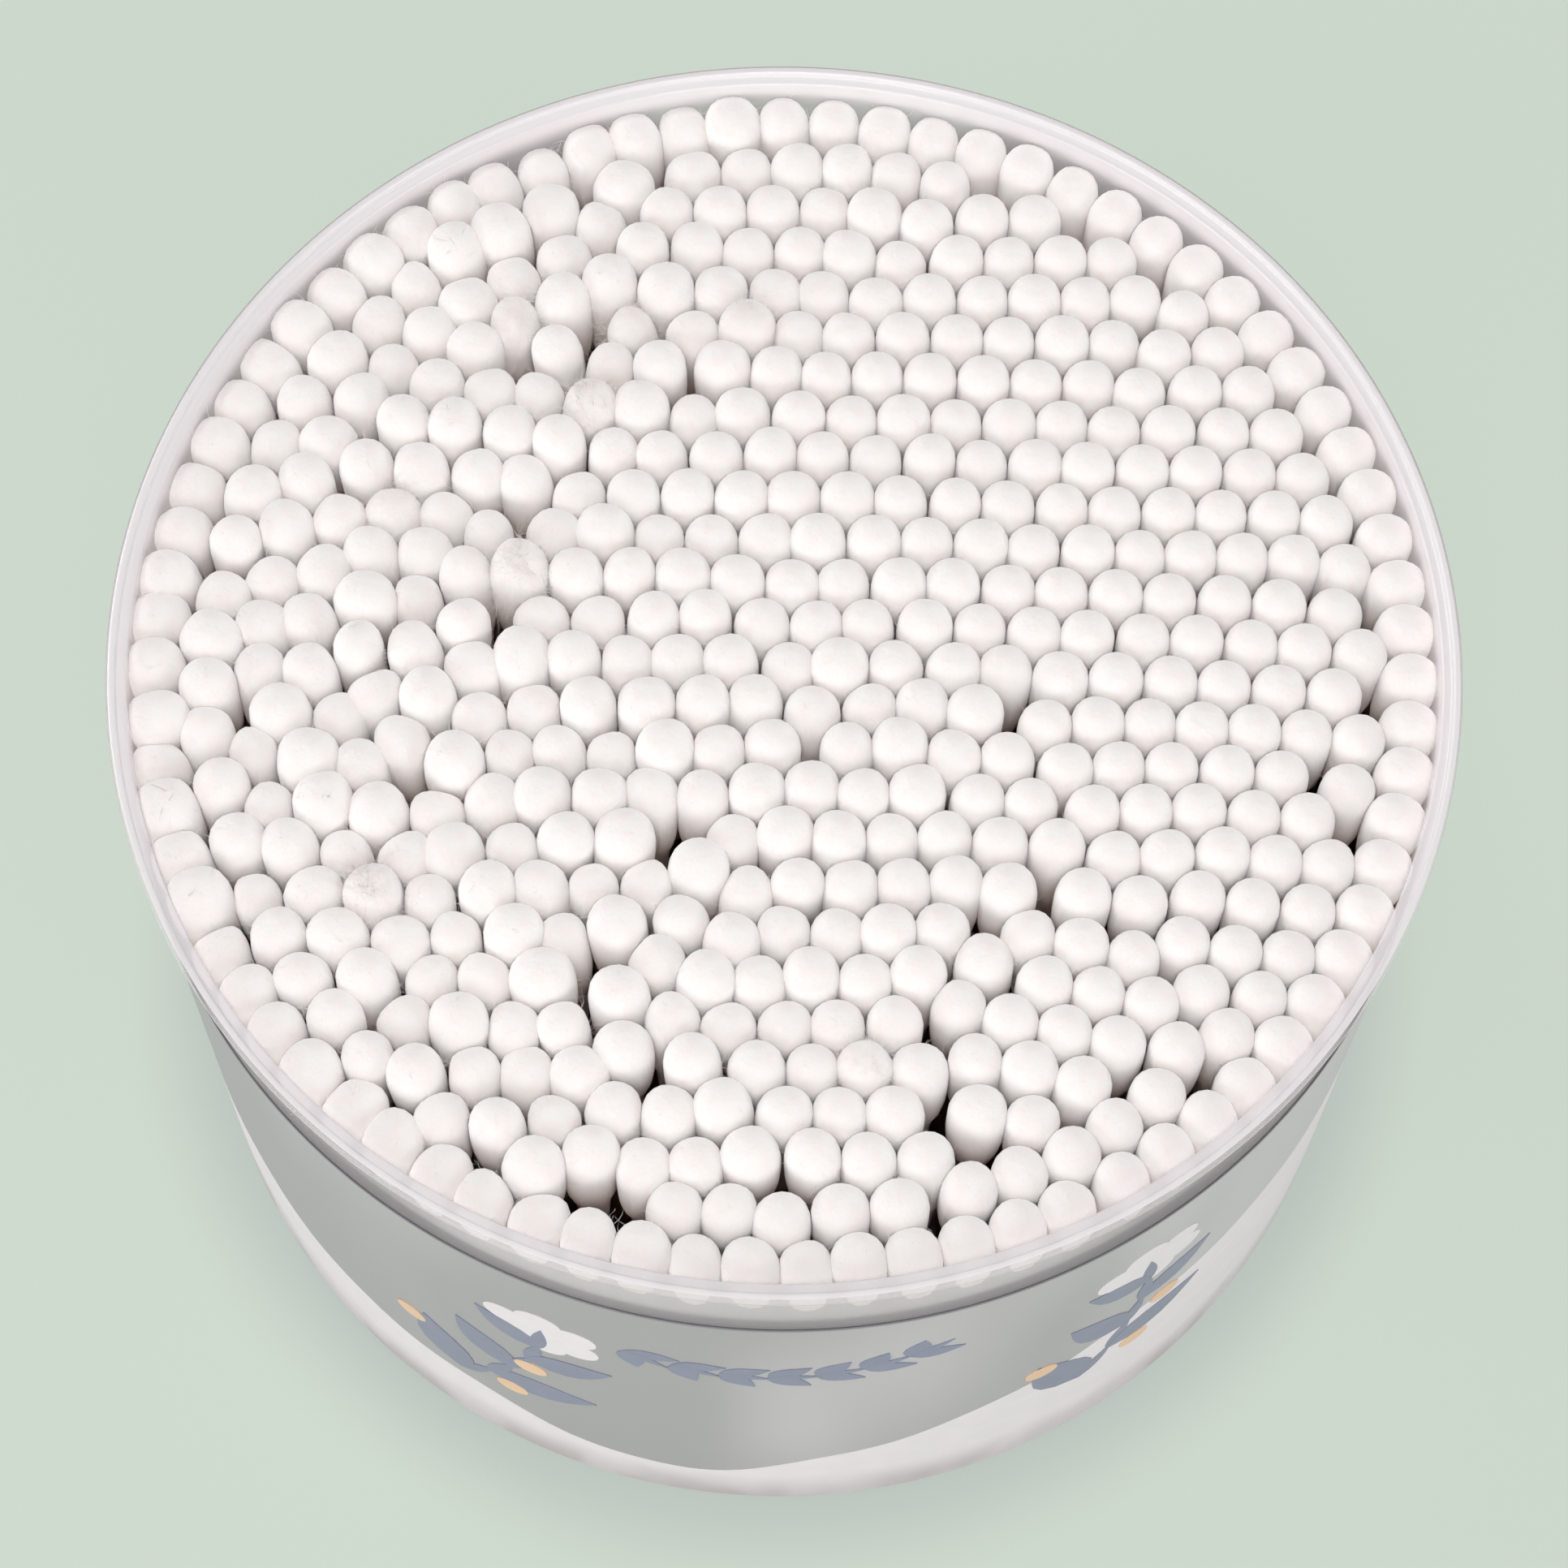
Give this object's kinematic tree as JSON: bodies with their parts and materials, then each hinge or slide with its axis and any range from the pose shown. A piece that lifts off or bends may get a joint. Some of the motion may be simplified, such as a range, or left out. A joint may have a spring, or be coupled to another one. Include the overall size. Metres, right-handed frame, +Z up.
{
  "type": "cotton swab tub",
  "caption": "Open round clear plastic tub with a stepped rim and a printed film round its wall, packed with double-ended cotton swabs standing on end",
  "frame": {"origin": "middle of the foot ring's underside, where the tub stands on a table", "axes": "+Z up along the tub's axis, front of the label towards -Y, +X to the right seen from the front"},
  "size_m": [0.125, 0.125, 0.0795],
  "materials": {
    "clear_plastic": "clear moulded polypropylene, slightly milky",
    "label_film": "printed film, sage green with a dark top edge",
    "hill_print": "white ink on the film, in rolling hills",
    "cotton": "white cotton wound on brown sticks"
  },
  "bodies": {
    "root": {"label_film": "label_film", "label_hills": "hill_print", "swabs_row_01": "cotton", "swabs_row_02": "cotton", "swabs_row_03": "cotton", "swabs_row_04": "cotton", "swabs_row_05": "cotton", "swabs_row_06": "cotton", "swabs_row_07": "cotton", "swabs_row_08": "cotton", "swabs_row_09": "cotton", "swabs_row_10": "cotton", "swabs_row_11": "cotton", "swabs_row_12": "cotton", "swabs_row_13": "cotton", "swabs_row_14": "cotton", "swabs_row_15": "cotton", "swabs_row_16": "cotton", "swabs_row_17": "cotton", "swabs_row_18": "cotton", "swabs_row_19": "cotton", "swabs_row_20": "cotton", "swabs_row_21": "cotton", "swabs_row_22": "cotton", "swabs_row_23": "cotton", "swabs_row_24": "cotton", "swabs_row_25": "cotton", "swabs_wall_ring": "cotton", "tub": "clear_plastic"}
  },
  "joints": []
}
